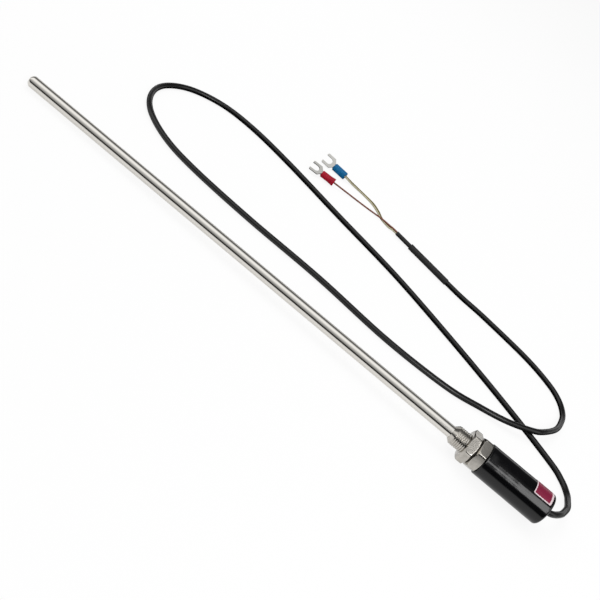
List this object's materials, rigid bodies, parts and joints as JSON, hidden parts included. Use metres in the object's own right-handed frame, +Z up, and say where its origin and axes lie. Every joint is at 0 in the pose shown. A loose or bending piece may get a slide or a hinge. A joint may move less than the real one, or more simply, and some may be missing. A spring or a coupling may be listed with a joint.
{
  "type": "resistance temperature probe with moulded head",
  "caption": "Stainless temperature probe with a threaded fitting, lock nut, moulded head, long cable and fork terminals, lying at rest.",
  "frame": {"origin": "on the surface the probe lies on, below the middle of the probe and its head, cable left out", "axes": "+Z up from the surface, +X along the probe from its tip towards its head, +Y towards the looped cable"},
  "size_m": [0.4345, 0.1997, 0.0236],
  "materials": {
    "sheath_steel": "drawn stainless tube, polished",
    "nickel_steel": "turned stainless steel, satin",
    "nut_steel": "turned stainless steel, satin",
    "ceramic": "unglazed alumina",
    "powder": "packed magnesia powder",
    "lead_metal": "bare nickel wire",
    "resin": "cast epoxy resin",
    "seal_rubber": "moulded nitrile rubber",
    "head_plastic": "moulded ABS, glossy",
    "splice_sleeve": "heat-shrunk sleeve",
    "brass": "plain turned brass",
    "label_film": "printed film",
    "cable_jacket": "extruded PVC, semi-gloss",
    "shrink_tube": "heat-shrunk polyolefin",
    "core_tube": "extruded sleeve",
    "red_insulation": "extruded insulation",
    "yellow_insulation": "extruded insulation",
    "white_insulation": "extruded insulation",
    "tinned_copper": "tin-plated copper, satin",
    "red_vinyl": "moulded vinyl",
    "blue_vinyl": "moulded vinyl"
  },
  "bodies": {
    "probe": {"sheath": "sheath_steel", "sensing_element": "ceramic", "powder_fill": "powder", "ceramic_beads": "ceramic", "lead_wires": "lead_metal", "sheath_seal": "resin", "fitting": "nickel_steel", "tail_o_ring": "seal_rubber", "head_shell": "head_plastic", "splices": "splice_sleeve", "core_tails": "white_insulation", "crimp_ring": "brass", "potting": "resin", "label": "label_film", "cable": "cable_jacket", "shrink_boot": "shrink_tube", "core_sleeve": "core_tube", "red_wire": "red_insulation", "yellow_wire": "yellow_insulation", "white_wire": "white_insulation", "red_fork": "tinned_copper", "red_grip": "red_vinyl", "blue_fork": "tinned_copper", "blue_grip": "blue_vinyl"},
    "ring": {"seal_ring": "seal_rubber"},
    "nut": {"lock_nut": "nut_steel"}
  },
  "joints": [
    {"name": "ring_slide", "type": "slide", "parent": "probe", "child": "ring", "axis": [-0.9998, 0, -0.0207], "range_m": [0, 0.0081]},
    {"name": "nut_turn", "type": "hinge", "parent": "ring", "child": "nut", "pos_m": [0.14731, 0, 0.01126], "axis": [-0.9998, 0, -0.0207], "range_deg": [0, 1980]}
  ],
  "couplings": [
    {"joint": "ring_slide", "follows": "nut_turn", "m_per_rad": 0.00021279}
  ]
}
